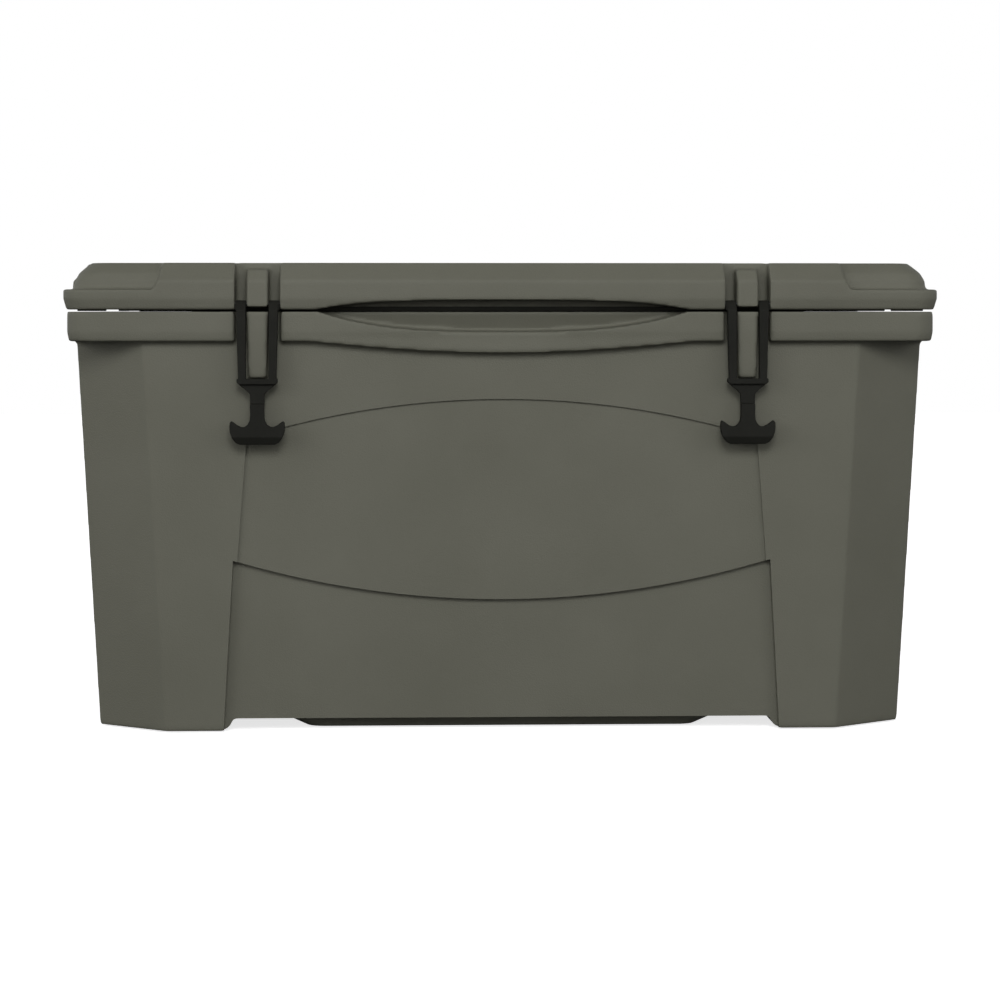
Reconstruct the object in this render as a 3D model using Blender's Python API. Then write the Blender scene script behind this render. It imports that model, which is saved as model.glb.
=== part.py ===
"""A 60-quart roto-moulded cooler: double-walled tub and lid, rubber latches, hinge rod and drain.

The frame has +Z up, the front faces -Y, and the origin is the bottom centre of the whole object.
Lengths are in metres. Run it with: blender --background --python part.py
"""
import math

import bmesh
import bpy

for leftover in list(bpy.data.objects):
    bpy.data.objects.remove(leftover, do_unlink=True)

# ---- driving dimensions -------------------------------------------------------------------
GAP = 0.0003            # running gap kept between pieces that touch on the real object
WALL = 0.0045           # moulded skin of the tub and the lid
OVERSHOOT = 0.05        # how far a cutter runs past the face it cuts
SIDES_LARGE = 28        # facets of a large, a middling and a small round
SIDES_MEDIUM = 20
SIDES_SMALL = 12
CORNER_STEPS = 3

# lid, seen from above
LID_HALF_X = 0.412
LID_HALF_Y = 0.2285
LID_CORNER = 0.022
LID_LIFT = 0.0032            # open gap between the tub's rim and the lid
LID_HEIGHT = 0.0428
LID_SKIRT_TAPER = 0.0027
LID_LEDGE_RISE = 0.0178      # from the lid's bottom edge up to the ledge of the corner blocks
LID_LEDGE_DEPTH = 0.009      # how far the corner blocks stand back behind the ledge
LID_BAND_RISE = 0.0258       # from the bottom edge up to the start of the top slope
LID_SLOPE_RUN = 0.015
LID_BLOCK_LENGTH = 0.081     # length of a corner block along each side
LID_BLOCK_LEAN = 0.012
BLOCK_PROFILE = ((0.33, 0.0008), (0.62, 0.0045), (0.85, 0.0105), (1.0, 0.0150))  # (rise, setback)
LID_STEP_DEPTH = 0.006       # inner panel of the lid that dips into the well
LID_STEP_CLEARANCE = 0.010

# tub
RIM_Z = 0.396
FLANGE_HEIGHT = 0.0243
FLANGE_INSET = 0.0032        # the tub's flange stands this far inside the lid's edge
FLANGE_SKIRT = 0.0075
FLANGE_SKIRT_TAPER = 0.0016
BODY_OVERHANG = 0.0108       # the flange stands this far out from the body's front and back
BODY_END_OVERHANG = 0.0043   # and from its ends
END_TAPER = math.tan(math.radians(3.3))
SIDE_TAPER = math.tan(math.radians(1.5))
POST_FACET = (0.067, 0.045)  # length and depth of the facet at each corner
UNDERSIDE_Z = 0.0015         # underside of the corner feet and belly, above the ground
CHANNEL_Z = 0.0123           # underside between the feet
FOOT_DEPTH = 0.098
BELLY_GAP = 0.076            # between the belly pad and the feet
BELLY_SLOPE = 0.029
BELLY_SETBACK = 0.0120

# inside
INSULATION_END = 0.0895      # from the body's outside to the well at the rim, at the ends
INSULATION_SIDE = 0.0545     # and at the front and back
WELL_CORNER = 0.040
WELL_TAPER = 0.046
FLOOR_INSULATION = 0.0587    # from the underside to the well's floor

# raised posts and sunk panels of the front and back
POST_WIDTH = 0.1421          # of a corner post at the panel datum height
POST_EDGE_LEAN = 0.069
PANEL_DATUM_Z = 0.166
UPPER_ARC_DROP = 0.0820      # crown of the badge panel's arc, below the rim
UPPER_ARC_RADIUS = 0.820
LOWER_ARC_Z = 0.1250
LOWER_ARC_RADIUS = 0.880
ARC_STEPS = 10
BADGE_DEPTH = 0.0025
PANEL_DEPTH = 0.008
END_POST_WIDTH = 0.1011
END_PANEL_DROP = 0.146       # top of the end panel, below the rim
END_PANEL_DEPTH = 0.005

# hand holds at the ends
POCKET_HALF_Y = 0.075
POCKET_HEIGHT = 0.050
POCKET_DEPTH = 0.0495
POCKET_LIP = 0.021           # thickness of the flange that the fingers hook behind
POCKET_UNDERCUT = 0.011

# finger scoop shared by the lid and the tub
SCOOP_HALF_X = 0.1735
SCOOP_FLAT_HALF_X = 0.093
SCOOP_RISE = 0.0077          # into the lid
SCOOP_DROP = 0.020           # into the tub's flange
SCOOP_DEPTH = 0.024
SCOOP_STEPS = 10
SCOOP_POWER = 3              # how squarely the scoop's lower edge runs out to its tips
BULGE_HALF_X = 0.195
BULGE_DROP = 0.0135

# latches
LATCH_X = 0.2295
LATCH_PIN_RISE = 0.0042      # above the lid's bottom edge
LATCH_PIN_SETBACK = 0.0065
LATCH_PIN_RADIUS = 0.002
LATCH_PIN_SEAT = 0.007       # how far the pin enters each side of the lid's channel
LATCH_FIT = 0.0003
LATCH_CHANNEL_HALF_X = 0.0212
LID_CHANNEL_DEPTH = 0.024
LATCH_POST_HALF_X = 0.0098
LID_POST_DROP = 0.0066       # top of the lid's post, below the lid's top
LID_POST_LIFT = 0.0011
CATCH_DROP = 0.062           # bottom of the catch, below the rim
CATCH_SETBACK = 0.0005       # catch and lid post faces, behind the lid's front face
ARM_INNER_X = 0.0110
ARM_OUTER_X = 0.0205
STRAP_PROUD = 0.0025         # how far the rubber stands in front of the lid
STRAP_THICKNESS = 0.009
EYE_RADIUS = 0.0045
CROSSBAR_HALF_X = 0.0187
CROSSBAR_HEIGHT = 0.0055
NECK_HALF_X = 0.0070
NECK_DROP = 0.015            # top of the neck, below the catch
NECK_LENGTH = 0.025
GRIP_HALF_X = 0.0257
GRIP_FLAT_HALF_X = 0.0177
GRIP_HEIGHT = 0.022

# hinge
HINGE_OFFSET = 0.0125        # rod axis behind the lid's rear face
HINGE_ROD_RADIUS = 0.004
HINGE_FIT = 0.00035
KNUCKLE_RADIUS = 0.011
KNUCKLE_END_SETBACK = 0.092  # from the lid's end to the first knuckle
KNUCKLE_COUNT = 11
KNUCKLE_SPACE = 0.0014
LID_WEB_HEIGHT = 0.022
ROD_END = 0.005
CAP_RADIUS = 0.0075
CAP_LENGTH = 0.008

# seal between lid and tub
GASKET_REACH_END = 0.033     # outer edge of the seal, out from the well at the ends
GASKET_REACH_SIDE = 0.022    # and at the front and back
GASKET_CORNER = 0.042
GASKET_WIDTH = 0.012
GASKET_SEAT = 0.0045

# drain at the right-hand end
DRAIN_RISE = 0.0215          # drain axis above the well's floor
DRAIN_RECESS_RADIUS = 0.032
DRAIN_SETBACK = 0.0224       # flat seat of the drain, behind the body's end
DRAIN_TUBE_RADIUS = 0.0135
DRAIN_BORE_RADIUS = 0.010
DRAIN_FLANGE_RADIUS = 0.023
DRAIN_FLANGE_THICKNESS = 0.004
DRAIN_SEAL_THICKNESS = 0.002
DRAIN_NUT_RADIUS = 0.0195
DRAIN_NUT_THICKNESS = 0.005
DRAIN_TUBE_PROUD = 0.0015
DRAIN_SHANK_LENGTH = 0.032
DRAIN_HEAD_RADIUS = 0.0195
DRAIN_HEAD_LENGTH = 0.014
DRAIN_RING_RADIUS = 0.015
DRAIN_RING_THICKNESS = 0.0022
DRAIN_FIT = 0.0004

# feet, fill plugs and screws
FOOT_PAD_RADIUS = 0.022
FOOT_PAD_END_SETBACK = 0.0691
FOOT_PAD_SIDE_SETBACK = 0.0668
FOOT_PAD_SEAT = 0.005
SCREW_RADIUS = 0.0022
SCREW_HEAD_RADIUS = 0.0048
SCREW_HEAD_HEIGHT = 0.0022
SCREW_HEAD_RISE = 0.0012
SCREW_LENGTH = 0.018
FILL_RADIUS = 0.012
FILL_X = 0.120
FILL_PLUG_THICKNESS = 0.0032

# ---- places worked out from the sizes above ------------------------------------------------
LID_BOTTOM_Z = RIM_Z + LID_LIFT
LID_TOP_Z = LID_BOTTOM_Z + LID_HEIGHT
FLANGE_HALF_X = LID_HALF_X - FLANGE_INSET
FLANGE_HALF_Y = LID_HALF_Y - FLANGE_INSET
FLANGE_BOTTOM_Z = RIM_Z - FLANGE_HEIGHT
BODY_HALF_X = FLANGE_HALF_X - BODY_END_OVERHANG
BODY_HALF_Y = FLANGE_HALF_Y - BODY_OVERHANG
WELL_HALF_X = BODY_HALF_X - INSULATION_END
WELL_HALF_Y = BODY_HALF_Y - INSULATION_SIDE
FLOOR_Z = CHANNEL_Z + FLOOR_INSULATION
GASKET_HALF_X = WELL_HALF_X + GASKET_REACH_END
GASKET_HALF_Y = WELL_HALF_Y + GASKET_REACH_SIDE
UPPER_ARC_Z = RIM_Z - UPPER_ARC_DROP
SCOOP_TOP_Z = LID_BOTTOM_Z + SCOOP_RISE
SCOOP_BOTTOM_Z = RIM_Z - SCOOP_DROP
LATCH_PIN_Z = LID_BOTTOM_Z + LATCH_PIN_RISE
LID_POST_TOP_Z = LID_TOP_Z - LID_POST_DROP
CATCH_BOTTOM_Z = RIM_Z - CATCH_DROP
NECK_TOP_Z = CATCH_BOTTOM_Z - NECK_DROP
NECK_BOTTOM_Z = NECK_TOP_Z - NECK_LENGTH
GRIP_BOTTOM_Z = NECK_BOTTOM_Z - GRIP_HEIGHT
KNUCKLE_RUN = LID_HALF_X - KNUCKLE_END_SETBACK   # half the length of the row of knuckles
DRAIN_Z = FLOOR_Z + DRAIN_RISE
HINGE_REACH = HINGE_OFFSET + KNUCKLE_RADIUS
# the body is moved back so that the whole object, hinge and latches too, is centred on the origin
SHIFT_Y = (STRAP_PROUD - HINGE_REACH) / 2
FRONT_Y = SHIFT_Y - LID_HALF_Y
HINGE_Y = SHIFT_Y + LID_HALF_Y + HINGE_OFFSET
HINGE_Z = (RIM_Z + LID_BOTTOM_Z) / 2
PIN_Y = FRONT_Y + LATCH_PIN_SETBACK
CATCH_Y = FRONT_Y + CATCH_SETBACK
STRAP_FRONT_Y = FRONT_Y - STRAP_PROUD
STRAP_BACK_Y = STRAP_FRONT_Y + STRAP_THICKNESS


def body_half_x(z):
    """Half the body's width at a height, from its taper."""
    return BODY_HALF_X - (FLANGE_BOTTOM_Z - z) * END_TAPER


def body_half_y(z):
    """Half the body's depth at a height, from its taper."""
    return BODY_HALF_Y - (FLANGE_BOTTOM_Z - z) * SIDE_TAPER


DRAIN_FACE_X = body_half_x(DRAIN_Z) - DRAIN_SETBACK
FOOT_PAD_X = body_half_x(0.0) - FOOT_PAD_END_SETBACK
FOOT_PAD_Y = body_half_y(0.0) - FOOT_PAD_SIDE_SETBACK


def well_half(half_at_rim, z):
    """Half the well's width or depth at a height."""
    return half_at_rim - (RIM_Z - z) * WELL_TAPER


# ---- collections and materials -------------------------------------------------------------
parts = bpy.data.collections.new("rotomoulded_cooler")
helpers = bpy.data.collections.new("cutters")
for collection in (parts, helpers):
    bpy.context.scene.collection.children.link(collection)


def material(name, colour, roughness, metallic=0.0):
    """A plain Principled material."""
    made = bpy.data.materials.new(name)
    made.use_nodes = True
    shader = made.node_tree.nodes["Principled BSDF"]
    shader.inputs["Base Color"].default_value = (*colour, 1.0)
    shader.inputs["Roughness"].default_value = roughness
    shader.inputs["Metallic"].default_value = metallic
    return made


OLIVE = material("olive_plastic", (0.118, 0.118, 0.094), 0.6)
FOAM = material("insulating_foam", (0.80, 0.72, 0.50), 0.9)
RUBBER = material("black_rubber", (0.020, 0.020, 0.017), 0.7)
STEEL = material("stainless_steel", (0.60, 0.60, 0.58), 0.3, 1.0)
BLACK_PLASTIC = material("black_plastic", (0.025, 0.025, 0.024), 0.5)


# ---- shape helpers -------------------------------------------------------------------------
def add_mesh(name, bm):
    """Make a hidden helper object from a bmesh, with its faces pointing out."""
    bm.normal_update()
    bmesh.ops.recalc_face_normals(bm, faces=bm.faces)
    mesh = bpy.data.meshes.new(name)
    bm.to_mesh(mesh)
    bm.free()
    made = bpy.data.objects.new(name, mesh)
    helpers.objects.link(made)
    made.hide_render = True
    made.display_type = "WIRE"
    return made


def finish(shape, name, colour, smooth_angle=None):
    """Turn a helper into a named part of the cooler."""
    helpers.objects.unlink(shape)
    parts.objects.link(shape)
    shape.hide_render = False
    shape.display_type = "TEXTURED"
    shape.name = name
    shape.data.materials.append(colour)
    if smooth_angle:
        shape.data.shade_smooth()
        shape.data.set_sharp_from_angle(angle=math.radians(smooth_angle))
    return shape


def join(target, *others):
    """Weld other solids onto one."""
    for other in others:
        weld = target.modifiers.new("weld " + other.name, "BOOLEAN")
        weld.operation = "UNION"
        weld.object = other
    return target


def cut(target, *cutters):
    """Take cutters out of a solid."""
    for cutter in cutters:
        opening = target.modifiers.new("cut " + cutter.name, "BOOLEAN")
        opening.operation = "DIFFERENCE"
        opening.object = cutter
    return target


def box(name, low, high):
    """A box between two corners."""
    bm = bmesh.new()
    bmesh.ops.create_cube(bm, size=1.0)
    for vert in bm.verts:
        for axis in range(3):
            middle = (low[axis] + high[axis]) / 2
            vert.co[axis] = middle + vert.co[axis] * (high[axis] - low[axis])
    return add_mesh(name, bm)


def rod(name, radius, start, end, axis, sides=SIDES_MEDIUM, end_radius=None):
    """A cylinder or cone along X or Z, from a start point for a signed length to end."""
    bm = bmesh.new()
    length = end - start[axis]
    bmesh.ops.create_cone(bm, cap_ends=True, segments=sides, radius1=radius,
                          radius2=radius if end_radius is None else end_radius, depth=abs(length))
    for vert in bm.verts:
        x, y, z = vert.co
        along = z + abs(length) / 2
        if axis == 2:
            vert.co = (start[0] + x, start[1] + y, start[2] + math.copysign(along, length))
        else:
            vert.co = (start[0] + math.copysign(along, length), start[1] + x, start[2] + y)
    return add_mesh(name, bm)


def rounded_rectangle(half_x, half_y, corner, segments):
    """A rectangle's outline with round corners, or with facets if a corner has one segment."""
    corner_x, corner_y = corner if isinstance(corner, tuple) else (corner, corner)
    points = []
    for quarter, (side_x, side_y) in enumerate(((1, 1), (-1, 1), (-1, -1), (1, -1))):
        for step in range(segments + 1):
            angle = math.radians(90 * (quarter + step / segments))
            x = side_x * (half_x - corner_x) + corner_x * math.cos(angle)
            y = side_y * (half_y - corner_y) + corner_y * math.sin(angle)
            points.append((x, y))
    return points


def stack(name, sections, segments, centre_y=SHIFT_Y):
    """A solid bridged through level sections, each (z, half_x, half_y, corner), from the bottom."""
    bm = bmesh.new()
    rings = []
    for z, half_x, half_y, corner in sections:
        outline = rounded_rectangle(half_x, half_y, corner, segments)
        verts = [bm.verts.new((x, centre_y + y, z)) for x, y in outline]
        rings.append([bm.edges.new((verts[n - 1], verts[n])) for n in range(len(verts))])
    for lower, upper in zip(rings, rings[1:]):
        bmesh.ops.bridge_loops(bm, edges=lower + upper)
    bmesh.ops.contextual_create(bm, geom=rings[0])
    bmesh.ops.contextual_create(bm, geom=rings[-1])
    return add_mesh(name, bm)


def prism(name, outline, place, sweep):
    """An outline of (u, v) pairs, put in space by place(u, v), swept by moving each point."""
    bm = bmesh.new()
    face = bm.faces.new([bm.verts.new(place(u, v)) for u, v in outline])
    swept = bmesh.ops.extrude_face_region(bm, geom=[face])
    for item in swept["geom"]:
        if isinstance(item, bmesh.types.BMVert):
            item.co = sweep(item.co)
    return add_mesh(name, bm)


# ---- features that the skin, the foam and the void between the skins share ------------------
# "grow" is how far a feature's walls stand off from the outside surface: 0 for the surface,
# the wall thickness for the void, and a little more for the foam that fills it.
def arc_heights(middle_z, radius, direction, half_x):
    """Points of a shallow arc across the front, from right to left."""
    points = []
    for step in range(ARC_STEPS + 1):
        x = half_x - 2 * half_x * step / ARC_STEPS
        drop = radius - math.sqrt(radius ** 2 - x ** 2)
        points.append((x, middle_z + direction * drop))
    return points


def post_edge(z):
    """Distance of a post's inner edge from the middle of the front at a height."""
    edge_at_datum = body_half_x(PANEL_DATUM_Z) - POST_WIDTH
    return edge_at_datum - (z - PANEL_DATUM_Z) * POST_EDGE_LEAN


def arc_panel(name, facing, grow, arc_z, arc_radius, direction, depth):
    """The space in front of a sunk panel between the posts, under an arc."""
    crown_z = arc_z + grow
    half_x = post_edge(arc_z) + grow
    bottom_z = UNDERSIDE_Z - OVERSHOOT
    outline = arc_heights(crown_z, arc_radius, direction, half_x)
    bottom_half_x = post_edge(bottom_z) + grow
    outline += [(-bottom_half_x, bottom_z), (bottom_half_x, bottom_z)]
    far = SHIFT_Y + facing * (LID_HALF_Y + OVERSHOOT)

    def to_panel(co):
        return (co.x, SHIFT_Y + facing * (body_half_y(co.z) - depth - grow), co.z)

    return prism(name, outline, lambda u, v: (u, far, v), to_panel)


def end_panel(name, side, grow):
    """The space in front of the sunk panel at one end."""
    half_y = body_half_y(PANEL_DATUM_Z) - END_POST_WIDTH + grow
    top = RIM_Z - END_PANEL_DROP + grow
    outline = [(-half_y, UNDERSIDE_Z - OVERSHOOT), (half_y, UNDERSIDE_Z - OVERSHOOT),
               (half_y, top), (-half_y, top)]
    far = side * (LID_HALF_X + OVERSHOOT)

    def to_panel(co):
        return (side * (body_half_x(co.z) - END_PANEL_DEPTH - grow), co.y, co.z)

    return prism(name, outline, lambda u, v: (far, SHIFT_Y + u, v), to_panel)


def scoop(name, grow):
    """The finger scoop at the middle of the front, cut into the lid and the tub alike."""
    outline = []
    for step in range(SCOOP_STEPS + 1):
        x = SCOOP_HALF_X * (1 - 2 * step / SCOOP_STEPS)
        share = 1 - abs(x / SCOOP_HALF_X) ** SCOOP_POWER
        outline.append((x, HINGE_Z - (HINGE_Z - SCOOP_BOTTOM_Z) * share))
    shoulder = (SCOOP_HALF_X + SCOOP_FLAT_HALF_X) / 2
    shoulder_z = HINGE_Z + (SCOOP_TOP_Z - HINGE_Z) * 0.7
    outline += [(-shoulder, shoulder_z), (-SCOOP_FLAT_HALF_X, SCOOP_TOP_Z)]
    outline += [(SCOOP_FLAT_HALF_X, SCOOP_TOP_Z), (shoulder, shoulder_z)]
    middle_z = (SCOOP_TOP_Z + SCOOP_BOTTOM_Z) / 2
    scale_x = 1 + grow / SCOOP_HALF_X
    scale_z = 1 + 2 * grow / (SCOOP_TOP_Z - SCOOP_BOTTOM_Z)
    outline = [(x * scale_x, middle_z + (z - middle_z) * scale_z) for x, z in outline]
    back = FRONT_Y + SCOOP_DEPTH + grow
    return prism(name, outline, lambda u, v: (u, FRONT_Y - OVERSHOOT, v),
                 lambda co: (co.x, back, co.z))


def hand_pocket(name, side, grow):
    """The hand hold at one end: a pocket under the flange with an undercut behind its lip."""
    half_y = POCKET_HALF_Y + grow
    back = BODY_HALF_X - POCKET_DEPTH - grow
    lip = FLANGE_HALF_X - POCKET_LIP + grow
    low = FLANGE_BOTTOM_Z - POCKET_HEIGHT - grow
    roof = FLANGE_BOTTOM_Z + POCKET_UNDERCUT + grow
    out = FLANGE_HALF_X + OVERSHOOT
    outline = [(back, low + POCKET_UNDERCUT), (back + POCKET_UNDERCUT, low), (out, low),
               (out, FLANGE_BOTTOM_Z + grow), (lip, FLANGE_BOTTOM_Z + grow), (lip, roof),
               (back, roof)]
    return prism(name, outline, lambda u, v: (side * u, SHIFT_Y - half_y, v),
                 lambda co: (co.x, SHIFT_Y + half_y, co.z))


def underside_channels(grow):
    """The two crossing channels that leave four feet standing at the corners."""
    top = CHANNEL_Z + grow
    half_x = post_edge(CHANNEL_Z) + grow
    half_y = body_half_y(CHANNEL_Z) - FOOT_DEPTH + grow
    deep = UNDERSIDE_Z - OVERSHOOT
    lengthways = box("channel_x", (-LID_HALF_X, SHIFT_Y - half_y, deep),
                     (LID_HALF_X, SHIFT_Y + half_y, top))
    across = box("channel_y", (-half_x, SHIFT_Y - LID_HALF_Y, deep),
                 (half_x, SHIFT_Y + LID_HALF_Y, top))
    return lengthways, across


def belly(grow):
    """The raised pad under the middle of the tub, with sloping sides."""
    half_x = post_edge(CHANNEL_Z) - BELLY_GAP
    half_y = body_half_y(CHANNEL_Z) - BELLY_SETBACK
    sections = [
        (UNDERSIDE_Z + grow, half_x - grow, half_y - BELLY_SLOPE / 2 - grow, BELLY_SLOPE / 2),
        (CHANNEL_Z + WALL + grow, half_x + BELLY_SLOPE - grow, half_y - grow,
         BELLY_SLOPE / 2),
    ]
    return stack("belly", sections, 2)


def tub_body(name, grow):
    """The tapered body with faceted corner posts, and the flange round its rim."""
    low, high = UNDERSIDE_Z + grow, RIM_Z - FLANGE_HEIGHT / 2
    sections = [(z, body_half_x(z) - grow, body_half_y(z) - grow, POST_FACET)
                for z in (low, high)]
    tapered = stack(name, sections, 1)
    skirt_x, skirt_y = FLANGE_HALF_X - grow, FLANGE_HALF_Y - grow
    sections = [
        (FLANGE_BOTTOM_Z + grow, skirt_x - FLANGE_SKIRT_TAPER, skirt_y - FLANGE_SKIRT_TAPER,
         LID_CORNER),
        (FLANGE_BOTTOM_Z + FLANGE_SKIRT, skirt_x, skirt_y, LID_CORNER),
        (RIM_Z - grow, skirt_x, skirt_y, LID_CORNER),
    ]
    return join(tapered, stack(name + "_flange", sections, CORNER_STEPS))


def tub_well(name, grow):
    """The inside of the tub, from its floor past its rim."""
    sections = []
    for z in (FLOOR_Z - grow, RIM_Z + WALL):
        sections.append((z, well_half(WELL_HALF_X, z) + grow, well_half(WELL_HALF_Y, z) + grow,
                         WELL_CORNER))
    return stack(name, sections, 5)


def tub_block(name, grow):
    """The tub as one solid, with every sunk feature, but without its well."""
    block = tub_body(name, grow)
    cut(block, arc_panel("badge", -1, grow, UPPER_ARC_Z, UPPER_ARC_RADIUS, -1, BADGE_DEPTH))
    for facing in (-1, 1):
        cut(block, arc_panel("panel", facing, grow, LOWER_ARC_Z, LOWER_ARC_RADIUS, 1, PANEL_DEPTH))
    for side in (-1, 1):
        cut(block, end_panel("end_panel", side, grow), hand_pocket("pocket", side, grow))
        half_x = LATCH_CHANNEL_HALF_X + grow
        channel_back = SHIFT_Y - BODY_HALF_Y + grow
        cut(block, box("latch_channel", (side * LATCH_X - half_x, FRONT_Y - OVERSHOOT,
                                         FLANGE_BOTTOM_Z - WALL),
                       (side * LATCH_X + half_x, channel_back, RIM_Z + WALL)))
        for facing in (-1, 1):
            seat = (side * FOOT_PAD_X, SHIFT_Y + facing * FOOT_PAD_Y, -OVERSHOOT)
            cut(block, rod("foot_seat", FOOT_PAD_RADIUS + GAP + grow, seat,
                           UNDERSIDE_Z + FOOT_PAD_SEAT + grow, 2))
            cut(block, rod("screw_hole", SCREW_RADIUS + GAP + grow, seat,
                           SCREW_HEAD_RISE + SCREW_LENGTH + GAP + grow, 2, SIDES_SMALL))
    cut(block, scoop("tub_scoop", grow), *underside_channels(grow))
    join(block, belly(grow))
    drain_face = (DRAIN_FACE_X - grow, SHIFT_Y, DRAIN_Z)
    cut(block, rod("drain_recess", DRAIN_RECESS_RADIUS + grow, drain_face,
                   LID_HALF_X + OVERSHOOT, 0, SIDES_LARGE))
    cut(block, rod("drain_hole", DRAIN_TUBE_RADIUS + GAP + grow, (0.2, SHIFT_Y, DRAIN_Z),
                   LID_HALF_X + OVERSHOOT, 0, SIDES_LARGE))
    return block


def lid_bulge(name, half_x, half_y, along_x, grow):
    """The full-width middle of two opposite lid sides, which rises above the corner ledges."""
    ledge_z = LID_BOTTOM_Z + LID_LEDGE_RISE - 2 * WALL
    band_z = LID_BOTTOM_Z + LID_BAND_RISE
    lean = LID_BLOCK_LEAN
    run = LID_SLOPE_RUN
    wide = (0, lean * 0.75, lean) if along_x else (0, 0, run)
    deep = (0, 0, run) if along_x else (0, lean * 0.75, lean)
    heights = (ledge_z + grow, band_z, LID_TOP_Z - grow)
    sections = [(z, half_x - w - grow, half_y - d - grow, 0.001)
                for z, w, d in zip(heights, wide, deep)]
    return stack(name, sections, 1)


def gasket_ring(name, low, high, side_clearance):
    """A closed ring on the seal's path, as an outer block with its middle cut out."""
    outer = stack(name, [(z, GASKET_HALF_X + side_clearance, GASKET_HALF_Y + side_clearance,
                          GASKET_CORNER + side_clearance) for z in (low, high)], 6)
    inset = GASKET_WIDTH + side_clearance
    inner = stack(name + "_middle", [(z, GASKET_HALF_X - inset, GASKET_HALF_Y - inset,
                                      GASKET_CORNER - inset)
                                     for z in (low - OVERSHOOT, high + OVERSHOOT)], 6)
    return cut(outer, inner)


def lid_block(name, grow):
    """The lid as one solid: skirted slab, corner blocks, full-width sides and inner step."""
    skirt_z = LID_BOTTOM_Z + LID_LEDGE_RISE / 2
    ledge_z = LID_BOTTOM_Z + LID_LEDGE_RISE
    half_x, half_y = LID_HALF_X - grow, LID_HALF_Y - grow
    slab = stack(name, [
        (LID_BOTTOM_Z + grow, half_x - LID_SKIRT_TAPER, half_y - LID_SKIRT_TAPER, LID_CORNER),
        (skirt_z, half_x, half_y, LID_CORNER),
        (ledge_z - grow, half_x, half_y, LID_CORNER),
    ], CORNER_STEPS)
    block_x, block_y = half_x - LID_LEDGE_DEPTH, half_y - LID_LEDGE_DEPTH
    rise = LID_HEIGHT - LID_LEDGE_RISE - grow
    sections = [(ledge_z - 2 * WALL, block_x, block_y, LID_CORNER)]
    for share, back in BLOCK_PROFILE:
        sections.append((ledge_z + rise * share, block_x - back, block_y - back, LID_CORNER))
    join(slab, stack(name + "_corner_blocks", sections, CORNER_STEPS))
    join(slab, lid_bulge(name + "_front", LID_HALF_X - LID_BLOCK_LENGTH, LID_HALF_Y, True, grow))
    join(slab, lid_bulge(name + "_ends", LID_HALF_X, LID_HALF_Y - LID_BLOCK_LENGTH, False, grow))
    step_x = WELL_HALF_X - LID_STEP_CLEARANCE - grow
    step_y = WELL_HALF_Y - LID_STEP_CLEARANCE - grow
    join(slab, stack(name + "_step", [
        (LID_BOTTOM_Z - LID_STEP_DEPTH + grow, step_x - LID_STEP_DEPTH, step_y - LID_STEP_DEPTH,
         WELL_CORNER),
        (LID_BOTTOM_Z + WALL + grow, step_x, step_y, WELL_CORNER),
    ], 5))
    for side in (-1, 1):
        seat = LATCH_PIN_SEAT + GAP if grow else 0.0
        reach = LATCH_CHANNEL_HALF_X + grow + seat
        cut(slab, box("lid_channel", (side * LATCH_X - reach, FRONT_Y - OVERSHOOT,
                                      LID_BOTTOM_Z - OVERSHOOT),
                      (side * LATCH_X + reach, FRONT_Y + LID_CHANNEL_DEPTH + grow,
                       LID_TOP_Z + OVERSHOOT)))
    groove = gasket_ring("groove", LID_BOTTOM_Z - WALL, LID_BOTTOM_Z + GASKET_SEAT + grow,
                         GAP + grow)
    return cut(slab, scoop("lid_scoop", grow), groove)


# ---- hinge knuckles ------------------------------------------------------------------------
def knuckle_spans(first):
    """The X spans of every other knuckle, starting with the one at index first."""
    pitch = 2 * KNUCKLE_RUN / KNUCKLE_COUNT
    spans = []
    for index in range(first, KNUCKLE_COUNT, 2):
        low = -KNUCKLE_RUN + index * pitch + KNUCKLE_SPACE / 2
        spans.append((low, low + pitch - KNUCKLE_SPACE))
    return spans


def knuckle(name, span, outline):
    """One knuckle: a barrel on the hinge axis with a web of a given side outline."""
    barrel = rod(name, KNUCKLE_RADIUS, (span[0], HINGE_Y, HINGE_Z), span[1], 0)
    web = prism(name + "_web", outline, lambda u, v: (span[0], u, v),
                lambda co: (span[1], co.y, co.z))
    return join(barrel, web)


ROD_BORE = rod("rod_bore", HINGE_ROD_RADIUS + HINGE_FIT, (-LID_HALF_X, HINGE_Y, HINGE_Z),
               LID_HALF_X, 0)


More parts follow.
